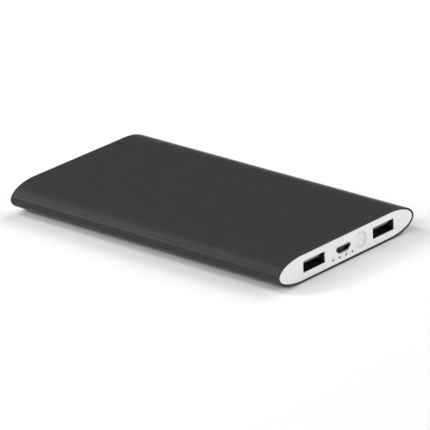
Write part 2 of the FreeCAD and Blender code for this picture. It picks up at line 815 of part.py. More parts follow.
def board_screws():
    """The two screws that hold the circuit board down on the front frame's arms."""
    head = ("dims.board_head_diameter", "dims.board_head_height")
    shank = ("dims.board_screw_diameter", "dims.board_screw_length")
    made = []
    for side in SIDES:
        body = screw(f"board_screw_{len(made)}", *head, *shank)
        x = f"{side} * dims.arm_x"
        place(body, x, "-dims.board_screw_out", BOARD_TOP, axis=(1, 0, 0), angle=-90)
        made.append(body)
    return group("board_screws", made)


# ---------------------------------------------------------------- sockets


def usb_shell(side, x):
    """A USB-A socket's sheet-metal shell, with its four spring leaves and its solder feet."""
    body = new_body(f"usb_shell_{side}")
    back_out = f"({SOCKET_FACE_OUT} - dims.usb_length)"
    outline = new_sketch(body, "outline", x=x, y="dims.port_z", out=back_out)
    rectangle(outline, "dims.usb_width", "dims.usb_height")
    pad(body, outline, "dims.usb_length")
    round_off(body, "Fillet", "dims.usb_corner", along_y)
    inside = new_sketch(body, "inside", x=x, y="dims.port_z", out=SOCKET_FACE_OUT)
    rectangle(inside, "dims.usb_width - 2 * dims.usb_sheet", "dims.usb_height - 2 * dims.usb_sheet")
    pocket(body, inside, "dims.usb_length")
    leaves_out = f"({SOCKET_FACE_OUT} - dims.leaf_setback)"
    top = "(dims.port_z + dims.usb_height / 2)"
    window_y = f"-{leaves_out} + dims.leaf_window_start + dims.leaf_window_length / 2"
    windows = new_sketch(body, "windows", "XY_Plane", x=x, y=window_y, out=f"{top} + dims.overcut")
    for i, sign in enumerate(SIDES):
        window = ("dims.leaf_window_width", "dims.leaf_window_length")
        rectangle(windows, *window, x=f"{sign} * dims.leaf_x", tag=f"window{i}")
    pocket(body, windows, "dims.usb_height + 2 * dims.overcut")
    inner_half = "(dims.usb_height / 2 - dims.usb_sheet)"
    for up in SIDES:
        level = f"dims.port_z + {up} * {inner_half}"
        for sign in SIDES:
            edge_x = f"{x} + {sign} * dims.leaf_x - dims.leaf_width / 2"
            leaf = new_sketch(body, "leaf", "YZ_Plane", x=f"-{leaves_out}", y=level, out=edge_x)
            polygon(leaf, [(y, up * z) for y, z in LEAF_PROFILE])
            pad(body, leaf, "dims.leaf_width")
    for setback in ("dims.front_foot_setback", "dims.back_foot_setback"):
        feet = new_sketch(body, "feet", x=x, y=BOARD_TOP, out=f"{SOCKET_FACE_OUT} - {setback}")
        for i, sign in enumerate(SIDES):
            middle = f"{sign} * (dims.usb_width / 2 + dims.foot_width / 2 - dims.close_gap)"
            foot = ("dims.foot_width", "dims.usb_sheet")
            rectangle(feet, *foot, x=middle, y="dims.usb_sheet / 2", tag=f"foot{i}")
        pad(body, feet, "dims.foot_length")
    return keep(body, f"usb_shell_{side}")


def usb_tongue(side, x):
    """The plastic block at the back of a USB-A socket and the tongue that carries its contacts."""
    body = new_body(f"usb_tongue_{side}")
    back_out = f"({SOCKET_FACE_OUT} - dims.usb_length)"
    block = new_sketch(body, "block", x=x, y="dims.port_z", out=back_out)
    rectangle(block, "dims.usb_width - 2 * dims.usb_sheet", "dims.usb_height - 2 * dims.usb_sheet")
    pad(body, block, "dims.usb_block")
    level = "dims.usb_height / 2 - dims.usb_sheet - dims.tongue_drop - dims.tongue_thickness / 2"
    spot = {"x": x, "y": f"dims.port_z + {level}", "out": f"{back_out} + dims.usb_block"}
    tongue = new_sketch(body, "tongue", **spot)
    rectangle(tongue, "dims.tongue_width", "dims.tongue_thickness")
    pad(body, tongue, "dims.usb_length - dims.usb_block - dims.tongue_setback")
    tip = number(f"-({SOCKET_FACE_OUT} - dims.tongue_setback)")

    def across_tip(edge):
        return at_y(edge, tip) and edge.BoundBox.ZLength < TOUCH

    round_off(body, "Fillet", "dims.tongue_round", across_tip)
    return keep(body, f"usb_tongue_{side}")


def usb_contacts(side, x):
    """Four flat contacts under a USB-A tongue, and their tails on the board behind the socket."""
    level = "(dims.port_z + dims.usb_height / 2 - dims.usb_sheet - dims.tongue_drop - dims.tongue_thickness)"
    strip = "(dims.usb_length - dims.usb_block - dims.tongue_setback - dims.contact_setback)"
    back = f"-({SOCKET_FACE_OUT} - dims.usb_length)"
    made = []
    for i, offset in enumerate(USB_CONTACTS_X):
        low_x = f"{x} + {offset} - dims.contact_width / 2"
        name = f"usb_contact_{side}_{i}"
        size = ("dims.contact_width", strip, "dims.contact_thickness")
        start = f"{back} - dims.usb_block - {strip}"
        made.append(box(name, size, (low_x, start, f"{level} - dims.contact_thickness")))
        tail = ("dims.contact_width", "dims.tail_length", "dims.tail_thickness")
        made.append(box(f"{name}_tail", tail, (low_x, back, BOARD_TOP)))
    return group(f"usb_contacts_{side}", made)


def micro_shell():
    """The micro-USB socket's shell, wide side up, with a foot on the board at each side."""
    body = new_body("micro_usb_shell")
    spot = {"x": "dims.micro_x", "y": "dims.micro_z"}
    back_out = f"({MICRO_FACE_OUT} - dims.micro_length)"
    outline = new_sketch(body, "outline", out=back_out, **spot)
    polygon(outline, micro_points("dims.micro_width", "dims.micro_height", "dims.micro_taper"))
    pad(body, outline, "dims.micro_length")
    round_off(body, "Fillet", "dims.micro_round", along_y)
    inside = new_sketch(body, "inside", out=MICRO_FACE_OUT, **spot)
    polygon(inside, micro_inside())
    pocket(body, inside, "dims.micro_length")
    feet = new_sketch(body, "feet", x="dims.micro_x", y=BOARD_TOP, out=f"{back_out} + dims.micro_foot_start")
    inner_end = "dims.micro_width / 2 - dims.micro_taper - dims.fit_gap"
    for i, sign in enumerate(SIDES):
        middle = f"{sign} * ({inner_end} + dims.micro_foot_width / 2)"
        foot = ("dims.micro_foot_width", "dims.micro_sheet")
        rectangle(feet, *foot, x=middle, y="dims.micro_sheet / 2", tag=f"foot{i}")
    pad(body, feet, "dims.micro_foot_length")
    return keep(body, "micro_usb_shell")


def micro_inside():
    width = "dims.micro_width - 2 * dims.micro_sheet"
    height = "dims.micro_height - 2 * dims.micro_sheet"
    return micro_points(width, height, "dims.micro_inner_taper")


def micro_tongue():
    """The micro-USB socket's plastic block and the thin tongue low inside the shell."""
    body = new_body("micro_usb_tongue")
    back_out = f"({MICRO_FACE_OUT} - dims.micro_length)"
    block = new_sketch(body, "block", x="dims.micro_x", y="dims.micro_z", out=back_out)
    polygon(block, micro_inside())
    pad(body, block, "dims.micro_block")
    level = "dims.micro_z - dims.micro_tongue_thickness / 2"
    tongue = new_sketch(body, "tongue", x="dims.micro_x", y=level, out=f"{back_out} + dims.micro_block")
    rectangle(tongue, "dims.micro_tongue_width", "dims.micro_tongue_thickness")
    pad(body, tongue, "dims.micro_tongue_length")
    return keep(body, "micro_usb_tongue")


def micro_contacts():
    """Five contacts on the micro-USB tongue, and their tails on the board."""
    back = f"-({MICRO_FACE_OUT} - dims.micro_length)"
    width = "dims.micro_contact_width"
    strip = (width, "dims.micro_contact_length", "dims.micro_contact_thickness")
    tail = (width, "dims.micro_tail_length", "dims.micro_tail_thickness")
    start = f"{back} - dims.micro_block - dims.micro_contact_length"
    made = []
    for i in range(MICRO_CONTACT_COUNT):
        from_middle = f"({i} - ({MICRO_CONTACT_COUNT} - 1) / 2) * dims.micro_contact_pitch"
        low_x = f"dims.micro_x + {from_middle} - {width} / 2"
        made.append(box(f"micro_contact_{i}", strip, (low_x, start, "dims.micro_z")))
        made.append(box(f"micro_tail_{i}", tail, (low_x, back, BOARD_TOP)))
    return group("micro_usb_contacts", made)


# ---------------------------------------------------------------- button, switch and lights


def power_button():
    """The button: a dished cap in the cover, a flange behind it and a stem that meets the switch."""
    body = new_body("power_button")
    spot = {"x": "dims.button_x", "out": MIDDLE}
    half = new_sketch(body, "profile", "XY_Plane", **spot)
    cap, flange, stem = (f"dims.{name} / 2" for name in ("button_diameter", "button_flange", "button_stem"))
    face = f"-({COVER_FACE_OUT} - dims.button_recess)"
    points = [(0, f"{face} + dims.button_dish"), (f"{cap} - dims.button_rim", face), (cap, face)]
    points += [(cap, f"-{FLANGE_FACE_OUT}"), (flange, f"-{FLANGE_FACE_OUT}"), (flange, f"-{FLANGE_BACK_OUT}")]
    stem_end = f"-({PLUNGER_TIP_OUT} + dims.button_gap)"
    points += [(stem, f"-{FLANGE_BACK_OUT}"), (stem, stem_end), (0, stem_end)]
    polygon(half, points, arcs=(0,))
    revolve(body, half)
    return keep(body, "power_button")


def tact_switch():
    """The switch body on the board, with the pocket that its plunger slides in."""
    body = new_body("switch_body")
    face = new_sketch(body, "outline", x="dims.button_x", y=SWITCH_MIDDLE, out=SWITCH_FACE_OUT)
    rectangle(face, "dims.switch_width", "dims.switch_height")
    pad(body, face, "dims.switch_depth", reverse=True)
    hole = new_sketch(body, "plunger_pocket", x="dims.button_x", y=SWITCH_MIDDLE, out=SWITCH_FACE_OUT)
    rectangle(hole, "dims.plunger_width + dims.fit_gap", "dims.plunger_height + dims.fit_gap")
    pocket(body, hole, "dims.plunger_depth + dims.button_travel + dims.fit_gap")
    return keep(body, "switch_body")


def switch_plunger():
    body = new_body("switch_plunger")
    outline = new_sketch(body, "outline", x="dims.button_x", y=SWITCH_MIDDLE, out=PLUNGER_TIP_OUT)
    rectangle(outline, "dims.plunger_width", "dims.plunger_height")
    pad(body, outline, f"({PLUNGER_TIP_OUT} - {SWITCH_FACE_OUT}) + dims.plunger_depth", reverse=True)
    return keep(body, "switch_plunger")


def light_guide():
    """A clear bar behind the front cover, with a peg in each light hole."""
    body = new_body("light_guide")
    back_out = f"({FRAME_BACK_OUT} + dims.close_gap)"
    front_out = f"({FRAME_FACE_OUT} - dims.close_gap / 2)"
    bar = new_sketch(body, "bar", x="dims.light_x", y="dims.light_z", out=back_out)
    rectangle(bar, "dims.guide_width", "dims.guide_height")
    pad(body, bar, f"{front_out} - {back_out}")
    pegs = new_sketch(body, "pegs", x="dims.light_x", y="dims.light_z", out=front_out)
    for i in range(LIGHT_COUNT):
        circle(pegs, "dims.light_peg", x=light_place(i), tag=f"peg{i}")
    pad(body, pegs, f"{COVER_FACE_OUT} - dims.light_recess - {front_out}")
    return keep(body, "light_guide")


def status_leds():
    """Four side-view chips under the board's front edge, one behind each peg of the light guide."""
    size = ("dims.led_width", "dims.led_depth", "dims.led_height")
    y, z = "-dims.board_front - dims.led_overhang", "dims.board_bottom - dims.led_height"
    made = []
    for i in range(LIGHT_COUNT):
        x = f"dims.light_x + {light_place(i)} - dims.led_width / 2"
        made.append(box(f"led_{i}", size, (x, y, z)))
    return group("status_leds", made)


# ---------------------------------------------------------------- circuit board


def circuit_board():
    """The board, notched round the two USB-A shells, with a hole over each arm."""
    body = new_body("circuit_board")
    back = "(dims.board_front - dims.board_length)"
    plate = new_sketch(body, "plate", "XY_Plane", y=f"-{back}", out="dims.board_bottom")
    rectangle(plate, "dims.board_width", "dims.board_length", y="-dims.board_length / 2")
    pad(body, plate, "dims.board_thickness")
    round_off(body, "Chamfer", "dims.board_corner", upright)
    notch_length = f"(dims.board_front - {SOCKET_FACE_OUT} + dims.usb_length + dims.close_gap)"
    for name, x in PORTS:
        spot = {"x": x, "y": "-dims.board_front", "out": BOARD_TOP}
        notch = new_sketch(body, f"notch_{name}", "XY_Plane", **spot)
        rectangle(notch, "dims.usb_width + dims.fit_gap", notch_length, y=f"{notch_length} / 2")
        pocket(body, notch, "dims.board_thickness")
    for side in SIDES:
        spot = {"x": f"{side} * dims.arm_x", "y": "-dims.board_screw_out", "out": BOARD_TOP}
        hole = new_sketch(body, "screw_hole", "XY_Plane", **spot)
        circle(hole, "dims.board_screw_diameter + dims.loose_gap")
        pocket(body, hole, "dims.board_thickness")
    return keep(body, "circuit_board")


def chips(label, places, size, leads=0, reach=0):
    """Packages of one size, flat on the board, or just clear of it on leads out of their two long sides."""
    length, width, height = size
    lift = "dims.package_lift" if leads else 0
    made = []
    for i, (x, y) in enumerate(places):
        low = (f"{x} - {length} / 2", f"{y} - {width} / 2", f"{BOARD_TOP} + {lift}")
        made.append(box(f"{label}_{i}", (length, width, f"{height} - {lift}"), low))
        for lead in range(leads):
            at = f"{x} + ({lead} - ({leads} - 1) / 2) * {length} / {leads} - dims.lead_width / 2"
            for row, side in enumerate(SIDES):
                start = f"{y} + {side} * ({width} + {reach}) / 2 - {reach} / 2"
                pin = ("dims.lead_width", reach, "dims.lead_thickness")
                made.append(box(f"{label}_{i}_{lead}_{row}", pin, (at, start, BOARD_TOP)))
    return group(label, made)


def power_inductor():
    """A square moulded inductor with rounded corners and a terminal at each side."""
    body = new_body("power_inductor")
    spot = {"x": "dims.inductor_x", "y": "-dims.inductor_out"}
    core = new_sketch(body, "core", "XY_Plane", out=f"{BOARD_TOP} + dims.inductor_lift", **spot)
    rectangle(core, "dims.inductor_width", "dims.inductor_width")
    pad(body, core, "dims.inductor_height")
    round_off(body, "Chamfer", "dims.inductor_corner", upright)
    pads = new_sketch(body, "terminals", "XY_Plane", out=BOARD_TOP, **spot)
    for i, side in enumerate(SIDES):
        terminal = ("dims.terminal_width", "dims.terminal_length")
        rectangle(pads, *terminal, x=f"{side} * dims.terminal_x", tag=f"terminal{i}")
    pad(body, pads, "dims.terminal_thickness")
    return keep(body, "power_inductor")


def board_parts():
    """Everything that is soldered on the board behind and between the sockets."""
    power_inductor()
    for label, package in PACKAGES.items():
        chips(label, **package)


# ---------------------------------------------------------------- cells

CELL_LOW = "(dims.tray_bottom + dims.tray_floor)"
CELL_MIDDLE = f"({CELL_LOW} + dims.cell_thickness)"
CELL_UPPER = f"({CELL_MIDDLE} + dims.cell_tape)"
CELL_TOP = f"({CELL_UPPER} + dims.cell_thickness)"
CELL_REAR = "(dims.cell_length - dims.cell_front)"
TERRACE_OUT = "(dims.cell_front + dims.terrace_length)"
TAB_OUT = f"({TERRACE_OUT} + dims.tab_length)"


def cell_tray():
    """The open channel under the cells: its floor bends up at both sides to follow the sleeve."""
    body = new_body("cell_tray")
    rear_out = f"-({FRAME_BACK_OUT} - dims.stop_length - dims.fit_gap)"
    inner = "(dims.cell_width / 2 + dims.loose_gap)"
    outer = f"({inner} + dims.tray_wall)"
    bottom, knee = "dims.tray_bottom", "(dims.tray_bottom + dims.tray_bevel_height)"
    top = "(dims.body_thickness - dims.tray_top_gap)"
    half = [(f"{outer} - dims.tray_bevel_width", bottom), (outer, knee), (outer, top), (inner, top)]
    half.append((inner, CELL_LOW))
    mirrored = [(f"-({x})", z) for x, z in reversed(half)]
    outline = new_sketch(body, "outline", out=rear_out)
    polygon(outline, half + mirrored)
    front_out = f"({TERRACE_OUT} + dims.lip_gap)"
    pad(body, outline, f"-{rear_out} + {front_out}")
    for name, y in (("front", f"-{front_out}"), ("rear", f"{CELL_REAR} + dims.lip_gap")):
        spot = {"y": f"{y} + dims.lip_thickness / 2", "out": CELL_LOW}
        lip = new_sketch(body, f"{name}_lip", "XY_Plane", **spot)
        rectangle(lip, "dims.cell_width + 2 * dims.loose_gap", "dims.lip_thickness")
        pad(body, lip, "dims.lip_height")
    return keep(body, "cell_tray")


def cell(label, bottom):
    """A flat pouch cell with rounded long edges, and the thin sealed terrace at its front."""
    body = new_body(label)
    middle = f"{bottom} + dims.cell_thickness / 2"
    pouch = new_sketch(body, "pouch", y=middle, out=f"-{CELL_REAR}")
    rectangle(pouch, "dims.cell_width", "dims.cell_thickness")
    pad(body, pouch, "dims.cell_length")
    round_off(body, "Fillet", "dims.cell_corner", along_y)
    terrace = new_sketch(body, "terrace", y=middle, out="dims.cell_front")
    rectangle(terrace, "dims.cell_width - 2 * dims.terrace_inset", "dims.terrace_thickness")
    pad(body, terrace, "dims.terrace_length")
    return keep(body, label)


def cell_tabs(label, bottom):
    made = []
    middle = f"{bottom} + dims.cell_thickness / 2 - dims.tab_thickness / 2"
    for i, side in enumerate(SIDES):
        low = (f"{side} * dims.tab_x - dims.tab_width / 2", f"-{TAB_OUT}", middle)
        size = ("dims.tab_width", "dims.tab_length", "dims.tab_thickness")
        made.append(box(f"{label}_{i}", size, low))
    return group(label, made)


def battery_link(label, side):
    """A nickel plate that joins the tabs of both cells and turns forward to lie on the board."""
    body = new_body(label)
    start = f"{side} * dims.tab_x - dims.tab_width / 2"
    plate = new_sketch(body, "plate", "YZ_Plane", x=f"-{TAB_OUT}", out=start)
    high = f"({CELL_UPPER} + dims.cell_thickness / 2 + dims.link_overlap)"
    below = f"({CELL_LOW} + dims.cell_thickness / 2 - dims.link_overlap)"
    tip, face, foot_top = "-dims.link_foot", "-dims.link_thickness", f"{BOARD_TOP} + dims.link_thickness"
    front = [(tip, BOARD_TOP), (tip, foot_top), (face, foot_top), (face, high)]
    polygon(plate, front + [(0, high), (0, below), (face, below), (face, BOARD_TOP)])
    pad(body, plate, "dims.tab_width")
    return keep(body, label)


def flat_layer(label, width, length, thickness, bottom):
    """A plain sheet over the cells' full outline or less, centred on them."""
    middle = f"({CELL_REAR} - dims.cell_front) / 2"
    low = (f"-{width} / 2", f"{middle} - {length} / 2", bottom)
    return keep(box(label, (width, length, thickness), low), label)


def temperature_sensor():
    """A bead that lies on the upper cell's terrace, with two straight legs to the board."""
    z = f"({CELL_UPPER} + dims.cell_thickness / 2 + dims.terrace_thickness / 2)"
    bead_y = f"(-{TERRACE_OUT} + dims.lip_gap)"
    bead = ("dims.bead_width", "dims.bead_width", "dims.bead_height")
    made = [box("sensor_bead", bead, ("-dims.bead_width / 2", bead_y, z))]
    leg, leg_z = "dims.leg_width", f"({z} + dims.leg_rise)"
    foot_y = "-(dims.board_front - dims.board_length + dims.leg_overlap)"
    for i, side in enumerate(SIDES):
        x = f"{side} * dims.leg_x - {leg} / 2"
        made.append(box(f"sensor_leg_{i}", (leg, f"{bead_y} - ({foot_y})", leg), (x, foot_y, leg_z)))
        made.append(box(f"sensor_drop_{i}", (leg, leg, f"{leg_z} - {BOARD_TOP}"), (x, foot_y, BOARD_TOP)))
    return group("temperature_sensor", made)


def cell_stack():
    cell_tray()
    cell("lower_cell", CELL_LOW)
    cell("upper_cell", CELL_UPPER)
    cell_tabs("lower_cell_tabs", CELL_LOW)
    cell_tabs("upper_cell_tabs", CELL_UPPER)
    battery_link("battery_link_positive", 1)
    battery_link("battery_link_negative", -1)
    width, length = "(dims.cell_width - 2 * dims.layer_inset)", "(dims.cell_length - 2 * dims.layer_inset)"
    flat_layer("cell_tape", width, length, "dims.cell_tape", CELL_MIDDLE)
    flat_layer("foam_pad", width, length, "dims.foam_thickness", CELL_TOP)
    temperature_sensor()


# ---------------------------------------------------------------- build


def build():
    fill_sheet()
    sleeve()
    front_cover()
    front_tape()
    front_frame()
    case_screws("front_screws", 1)
    rear_cover()
    rear_tape()
    rear_frame()
    case_screws("rear_screws", -1)
    for side, x in PORTS:
        usb_shell(side, x)
        usb_tongue(side, x)
        usb_contacts(side, x)
    micro_shell()
    micro_tongue()
    micro_contacts()
    power_button()
    tact_switch()
    switch_plunger()
    light_guide()
    status_leds()
    circuit_board()
    board_screws()
    board_parts()
    cell_stack()


def check():
    """Stops if any object failed to build or any sub-part's shape is empty or not valid."""
    for thing in doc.Objects:
        if {"Invalid", "Error"} & set(thing.State):
            raise RuntimeError(f"{thing.Label} did not build: {thing.State}")
    for node in nodes:
        if node.Shape.isNull() or not node.Shape.isValid():
            raise RuntimeError(f"{node.Label}: its shape is empty or not valid")


def export():
    os.makedirs("parts", exist_ok=True)
    for node in nodes:
        node.Shape.exportStep(f"parts/{node.Label}.step")


build()
doc.recompute()
check()
export()
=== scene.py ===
"""Looks for the slim power bank.

A dark anodised sleeve with white end covers, on a white studio floor.
"""

import json
import math

import bmesh
import bpy
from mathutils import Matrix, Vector


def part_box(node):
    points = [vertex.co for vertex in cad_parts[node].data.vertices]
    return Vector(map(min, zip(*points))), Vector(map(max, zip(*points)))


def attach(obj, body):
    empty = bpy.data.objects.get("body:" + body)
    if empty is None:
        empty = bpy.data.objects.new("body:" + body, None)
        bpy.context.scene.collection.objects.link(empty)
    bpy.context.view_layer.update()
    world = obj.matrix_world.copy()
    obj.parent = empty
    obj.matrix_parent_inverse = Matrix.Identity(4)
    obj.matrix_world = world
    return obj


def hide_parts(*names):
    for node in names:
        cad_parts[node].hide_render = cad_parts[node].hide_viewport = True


MM = 0.001
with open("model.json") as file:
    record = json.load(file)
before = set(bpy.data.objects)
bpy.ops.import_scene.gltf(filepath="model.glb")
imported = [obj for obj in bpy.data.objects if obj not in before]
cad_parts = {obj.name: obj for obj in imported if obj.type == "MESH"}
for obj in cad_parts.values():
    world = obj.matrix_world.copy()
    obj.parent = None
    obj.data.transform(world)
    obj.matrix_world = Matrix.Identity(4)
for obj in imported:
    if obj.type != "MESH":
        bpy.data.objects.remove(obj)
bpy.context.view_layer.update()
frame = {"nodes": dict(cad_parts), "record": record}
nodes = frame["nodes"]
sleeve_low, sleeve_high = (Vector(corner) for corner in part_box("sleeve"))
MIDDLE_Z = (sleeve_low.z + sleeve_high.z) / 2


# ---------------------------------------------------------------- camera

CAMERA_AZIMUTH = math.radians(-47.46)
CAMERA_ELEVATION = math.radians(21.72)
CAMERA_ROLL = math.radians(-2.72)
CAMERA_DISTANCE = 1.595
CAMERA_TARGET = Vector((2.64 * MM, 0, MIDDLE_Z - 4.11 * MM))
CAMERA_LENS = 342.3


def make_camera():
    """A long lens, from the left of the socket end and above, rolled slightly."""
    back = Vector((
        math.sin(CAMERA_AZIMUTH) * math.cos(CAMERA_ELEVATION),
        -math.cos(CAMERA_AZIMUTH) * math.cos(CAMERA_ELEVATION),
        math.sin(CAMERA_ELEVATION),
    ))
    data = bpy.data.cameras.new("camera")
    data.lens = CAMERA_LENS
    data.sensor_width = 36
    data.clip_start = 0.05
    data.clip_end = 50
    camera = bpy.data.objects.new("camera", data)
    bpy.context.scene.collection.objects.link(camera)
    camera.location = CAMERA_TARGET + back * CAMERA_DISTANCE
    camera.rotation_euler = back.to_track_quat("Z", "Y").to_euler()
    camera.rotation_euler.rotate_axis("Z", CAMERA_ROLL)
    bpy.context.scene.camera = camera


make_camera()


# ---------------------------------------------------------------- material helpers

TEXTURE_LOW, TEXTURE_HIGH = 0.35, 0.65  # between these lie most values of a noise texture


class Shader:
    """A new material with a Principled shader, and short ways to add nodes that feed it."""

    def __init__(self, name, colour, rough, metal=0.0, **sockets):
        self.material = bpy.data.materials.new(name)
        self.material.use_nodes = True
        self.tree = self.material.node_tree
        self.main = self.tree.nodes["Principled BSDF"]
        self.set("Base Color", (*colour, 1))
        self.set("Roughness", rough)
        self.set("Metallic", metal)
        for socket, value in sockets.items():
            self.set(socket.replace("_", " "), value)
        self.coords = self.node("ShaderNodeTexCoord").outputs["Object"]

    def set(self, socket, value):
        self.main.inputs[socket].default_value = value

    def node(self, kind, **values):
        made = self.tree.nodes.new(kind)
        for key, value in values.items():
            setattr(made, key, value)
        return made

    def link(self, source, target):
        self.tree.links.new(source, target)

    def mapping(self, scale):
        """Object coordinates multiplied by a scale for each axis."""
        mapped = self.node("ShaderNodeMapping")
        mapped.inputs["Scale"].default_value = scale
        self.link(self.coords, mapped.inputs["Vector"])
        return mapped.outputs["Vector"]

    def noise(self, scale, detail, stretch=(1, 1, 1)):
        """Noise whose cells are about 1 / scale metres across."""
        made = self.node("ShaderNodeTexNoise")
        made.inputs["Scale"].default_value = scale
        made.inputs["Detail"].default_value = detail
        self.link(self.mapping(stretch), made.inputs["Vector"])
        return made.outputs["Fac"]

    def spots(self, scale):
        made = self.node("ShaderNodeTexVoronoi")
        made.inputs["Scale"].default_value = scale
        self.link(self.coords, made.inputs["Vector"])
        return made.outputs["Distance"]

    def between(self, value, low, high):
        """A number from a texture, spread from low to high."""
        made = self.node("ShaderNodeMapRange")
        made.inputs["From Min"].default_value = TEXTURE_LOW
        made.inputs["From Max"].default_value = TEXTURE_HIGH
        made.inputs["To Min"].default_value = low
        made.inputs["To Max"].default_value = high
        self.link(value, made.inputs["Value"])
        return made.outputs["Result"]

    def shades(self, value, dark, light, low_in=TEXTURE_LOW, high_in=TEXTURE_HIGH):
        """Colours the surface from dark to light along a texture's value."""
        ramp = self.node("ShaderNodeValToRGB")
        ramp.color_ramp.elements[0].position = low_in
        ramp.color_ramp.elements[0].color = (*dark, 1)
        ramp.color_ramp.elements[1].position = high_in
        ramp.color_ramp.elements[1].color = (*light, 1)
        self.link(value, ramp.inputs["Fac"])
        self.link(ramp.outputs["Color"], self.main.inputs["Base Color"])

    def rough(self, value, low, high):
        self.link(self.between(value, low, high), self.main.inputs["Roughness"])

    def bump(self, height, depth, strength):
        made = self.node("ShaderNodeBump")
        made.inputs["Strength"].default_value = strength
        made.inputs["Distance"].default_value = depth
        self.link(height, made.inputs["Height"])
        self.link(made.outputs["Normal"], self.main.inputs["Normal"])


def tinted(colour, factor):
    return tuple(min(1.0, channel * factor) for channel in colour)


# ---------------------------------------------------------------- materials


def anodised(name, colour):
    """Bead-blasted and anodised aluminium: an even grain, faintly drawn along the extrusion."""
    tint = (0.6, 0.6, 0.6, 1)
    made = Shader(name, colour, 0.3, 0.05, Specular_IOR_Level=0.03, Specular_Tint=tint)
    cloud = made.noise(260, 3, (1, 0.35, 1))
    made.shades(cloud, tinted(colour, 0.965), tinted(colour, 1.035))
    made.rough(made.noise(1500, 4), 0.26, 0.32)
    made.bump(made.noise(7000, 3), 2e-6, 0.25)
    return made.material


def moulded(name, colour, rough, grain=6000, depth=3e-6, spread=0.02):
    """Injection-moulded plastic with a spark-eroded grain and slight unevenness of tone."""
    made = Shader(name, colour, rough)
    made.shades(made.noise(420, 3), tinted(colour, 1 - spread), tinted(colour, 1 + spread))
    made.rough(made.noise(2200, 3), rough - 0.05, rough + 0.05)
    made.bump(made.noise(grain, 2), depth, 0.4)
    return made.material


def brushed(name, colour, rough, stretch, spread=0.12):
    """Stamped or drawn metal, with fine lines along the direction where stretch is small."""
    made = Shader(name, colour, rough, 1.0)
    lines = made.noise(5200, 4, stretch)
    made.shades(lines, tinted(colour, 1 - spread), tinted(colour, 1 + spread))
    made.rough(made.noise(1800, 3), rough - 0.06, rough + 0.08)
    made.bump(lines, 2e-6, 0.3)
    return made.material


def film(name, colour):
    """Adhesive film with small trapped bubbles."""
    made = Shader(name, colour, 0.35)
    bubbles = made.spots(1600)
    made.shades(bubbles, tinted(colour, 1.1), tinted(colour, 0.92), 0.0, 0.2)
    made.bump(bubbles, 5e-6, 0.4)
    return made.material


def clear(name, colour):
    """Clear moulded plastic that passes the chips' light."""
    made = Shader(name, colour, 0.3, 0.0, Transmission_Weight=0.35, IOR=1.49)
    made.bump(made.noise(900, 2), 4e-6, 0.3)
    return made.material


def laminate(name, colour):
    """Circuit board: solder mask over copper traces, which show as paler lines."""
    made = Shader(name, colour, 0.32, 0.0, Coat_Weight=0.4, Coat_Roughness=0.15)
    traces = made.node("ShaderNodeTexBrick")
    traces.inputs["Scale"].default_value = 1.0
    traces.inputs["Brick Width"].default_value = 4.2 * MM
    traces.inputs["Row Height"].default_value = 1.1 * MM
    traces.inputs["Mortar Size"].default_value = 0.16 * MM
    traces.inputs["Mortar Smooth"].default_value = 0.2
    traces.inputs["Color1"].default_value = (*colour, 1)
    traces.inputs["Color2"].default_value = (*tinted(colour, 0.8), 1)
    traces.inputs["Mortar"].default_value = (*tinted(colour, 1.9), 1)
    made.link(made.coords, traces.inputs["Vector"])
    made.link(traces.outputs["Color"], made.main.inputs["Base Color"])
    made.bump(traces.outputs["Fac"], 2e-5, 0.5)
    return made.material


def foil(name, colour):
    """Laminated pouch foil, a little crinkled."""
    made = Shader(name, colour, 0.38, 0.75)
    creases = made.noise(110, 2, (1, 0.6, 1))
    made.shades(creases, tinted(colour, 0.94), tinted(colour, 1.05))
    made.rough(made.noise(700, 2), 0.32, 0.44)
    made.bump(creases, 1.5e-4, 0.3)
    return made.material


def open_foam(name, colour):
    """Soft foam with open cells, painted darker towards each cell's middle as shade in its pores.
    """
    made = Shader(name, colour, 0.95, 0.0, Sheen_Weight=0.3)
    cells = made.spots(2600)
    # painted shade: the colour darkens towards each cell's middle, standing for the shade inside
    # the pores
    made.shades(cells, tinted(colour, 0.4), tinted(colour, 1.3), 0.05, 0.6)
    made.bump(cells, 1.2e-4, 0.7)
    return made.material


